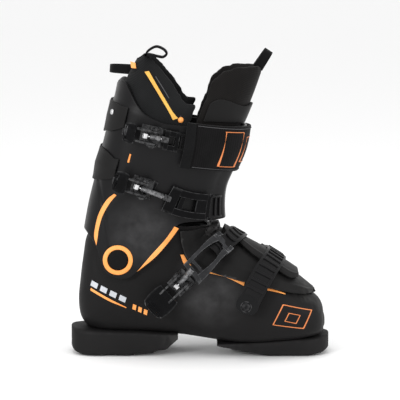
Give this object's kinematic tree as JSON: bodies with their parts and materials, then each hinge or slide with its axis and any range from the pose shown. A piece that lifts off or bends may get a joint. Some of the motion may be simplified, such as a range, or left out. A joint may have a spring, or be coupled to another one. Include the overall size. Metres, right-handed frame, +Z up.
{
  "type": "alpine ski boot",
  "caption": "Right alpine ski boot with a stiff plastic shell, a cuff hinged at the ankle, over-centre buckles, a power strap and a padded liner.",
  "frame": {"origin": "on the ground under the middle of the sole", "axes": "+X towards the toe, +Y towards the inner side of the foot, +Z up"},
  "size_m": [0.305, 0.1494, 0.366],
  "materials": {
    "shell_plastic": "matte moulded, fine grain",
    "flap_plastic": "matte moulded, fine grain",
    "cuff_plastic": "satin moulded",
    "sole_plastic": "rough moulded",
    "orange_trim": "satin",
    "board_plastic": "rough",
    "liner_fabric": "woven, padded",
    "webbing": "ribbed webbing",
    "buckle_metal": "dark satin coat",
    "steel": "brushed",
    "ladder_plastic": "satin"
  },
  "bodies": {
    "shell": {"lower_shell": "shell_plastic", "instep_lower_flap": "flap_plastic", "instep_upper_flap": "flap_plastic", "heel_sole_block": "sole_plastic", "toe_sole_block": "sole_plastic", "heel_sole_screw_1": "steel", "heel_sole_screw_2": "steel", "toe_sole_screw_1": "steel", "toe_sole_screw_2": "steel", "boot_board": "board_plastic", "liner_foot": "liner_fabric", "pivot_bolt_outer": "steel", "pivot_bolt_inner": "steel", "toe_buckle_base": "buckle_metal", "toe_ladder": "ladder_plastic", "toe_ladder_rivet": "cuff_plastic", "instep_buckle_base": "buckle_metal", "instep_ladder": "ladder_plastic", "instep_ladder_rivet": "cuff_plastic"},
    "cuff": {"cuff": "cuff_plastic", "pivot_ring_outer": "orange_trim", "pivot_ring_inner": "orange_trim", "pivot_cap_outer": "cuff_plastic", "pivot_cap_inner": "cuff_plastic", "spine_yoke": "flap_plastic", "strap_anchor": "flap_plastic", "strap_anchor_screw": "steel", "power_strap": "webbing", "liner_cuff": "liner_fabric", "liner_tongue": "liner_fabric", "tongue_shield": "flap_plastic", "heel_pull_loop": "webbing", "collar_pull_loop": "webbing", "tongue_pull_tab": "webbing", "lower_cuff_buckle_base": "buckle_metal", "lower_cuff_ladder": "ladder_plastic", "lower_cuff_ladder_rivet": "cuff_plastic", "upper_cuff_buckle_base": "buckle_metal", "upper_cuff_ladder": "ladder_plastic", "upper_cuff_ladder_rivet": "cuff_plastic"},
    "toe_lever": {"toe_buckle_lever": "buckle_metal", "toe_buckle_link_pin": "steel"},
    "toe_bail": {"toe_buckle_rod": "steel", "toe_buckle_bail": "buckle_metal"},
    "toe_sleeve": {"toe_buckle_sleeve": "buckle_metal"},
    "instep_lever": {"instep_buckle_lever": "buckle_metal", "instep_buckle_link_pin": "steel"},
    "instep_bail": {"instep_buckle_rod": "steel", "instep_buckle_bail": "buckle_metal"},
    "instep_sleeve": {"instep_buckle_sleeve": "buckle_metal"},
    "lower_cuff_lever": {"lower_cuff_buckle_lever": "buckle_metal", "lower_cuff_buckle_link_pin": "steel"},
    "lower_cuff_bail": {"lower_cuff_buckle_rod": "steel", "lower_cuff_buckle_bail": "buckle_metal"},
    "lower_cuff_sleeve": {"lower_cuff_buckle_sleeve": "buckle_metal"},
    "upper_cuff_lever": {"upper_cuff_buckle_lever": "buckle_metal", "upper_cuff_buckle_link_pin": "steel"},
    "upper_cuff_bail": {"upper_cuff_buckle_rod": "steel", "upper_cuff_buckle_bail": "buckle_metal"},
    "upper_cuff_sleeve": {"upper_cuff_buckle_sleeve": "buckle_metal"}
  },
  "joints": [
    {"name": "cuff_flex", "type": "hinge", "parent": "shell", "child": "cuff", "pos_m": [-0.095, 0, 0.118], "axis": [0, 1, 0], "range_deg": [0, 4], "stiffness_Nm_per_rad": 80},
    {"name": "toe_lever_hinge", "type": "hinge", "parent": "shell", "child": "toe_lever", "pos_m": [0.05723, 0.06354, 0.07613], "axis": [0.9244, 0.1254, -0.3603], "range_deg": [0, 95]},
    {"name": "toe_bail_hinge", "type": "hinge", "parent": "toe_lever", "child": "toe_bail", "pos_m": [0.05404, 0.06187, 0.06736], "axis": [0.9244, 0.1254, -0.3603], "range_deg": [-110, 0]},
    {"name": "toe_sleeve_turn", "type": "hinge", "parent": "toe_bail", "child": "toe_sleeve", "pos_m": [0.05404, 0.06187, 0.06736], "axis": [0.4347, 0.0658, 0.8982], "continuous": true},
    {"name": "instep_lever_hinge", "type": "hinge", "parent": "shell", "child": "instep_lever", "pos_m": [-0.02088, -0.05427, 0.09336], "axis": [-0.6854, 0.1321, 0.7161], "range_deg": [0, 95]},
    {"name": "instep_bail_hinge", "type": "hinge", "parent": "instep_lever", "child": "instep_bail", "pos_m": [-0.02718, -0.05152, 0.08682], "axis": [-0.6854, 0.1321, 0.7161], "range_deg": [-110, 0]},
    {"name": "instep_sleeve_turn", "type": "hinge", "parent": "instep_bail", "child": "instep_sleeve", "pos_m": [-0.02718, -0.05152, 0.08682], "axis": [0.6126, -0.3077, 0.728], "continuous": true},
    {"name": "lower_cuff_lever_hinge", "type": "hinge", "parent": "cuff", "child": "lower_cuff_lever", "pos_m": [-0.06413, -0.0652, 0.20212], "axis": [0.308, -0.0731, 0.9486], "range_deg": [0, 95]},
    {"name": "lower_cuff_bail_hinge", "type": "hinge", "parent": "lower_cuff_lever", "child": "lower_cuff_bail", "pos_m": [-0.07266, -0.06232, 0.20511], "axis": [0.308, -0.0731, 0.9486], "range_deg": [-110, 0]},
    {"name": "lower_cuff_sleeve_turn", "type": "hinge", "parent": "lower_cuff_bail", "child": "lower_cuff_sleeve", "pos_m": [-0.07266, -0.06232, 0.20511], "axis": [0.9249, 0.104, -0.3657], "continuous": true},
    {"name": "upper_cuff_lever_hinge", "type": "hinge", "parent": "cuff", "child": "upper_cuff_lever", "pos_m": [-0.05357, -0.0703, 0.26226], "axis": [0.2019, -0.0704, 0.9769], "range_deg": [0, 95]},
    {"name": "upper_cuff_bail_hinge", "type": "hinge", "parent": "upper_cuff_lever", "child": "upper_cuff_bail", "pos_m": [-0.06223, -0.067, 0.26428], "axis": [0.2019, -0.0704, 0.9769], "range_deg": [-110, 0]},
    {"name": "upper_cuff_sleeve_turn", "type": "hinge", "parent": "upper_cuff_bail", "child": "upper_cuff_sleeve", "pos_m": [-0.06223, -0.067, 0.26428], "axis": [0.9747, 0.0709, -0.2121], "continuous": true}
  ],
  "couplings": [
    {"joint": "toe_bail_hinge", "follows": "toe_lever_hinge", "ratio": -1.15},
    {"joint": "instep_bail_hinge", "follows": "instep_lever_hinge", "ratio": -1.15},
    {"joint": "lower_cuff_bail_hinge", "follows": "lower_cuff_lever_hinge", "ratio": -1.15},
    {"joint": "upper_cuff_bail_hinge", "follows": "upper_cuff_lever_hinge", "ratio": -1.15}
  ]
}
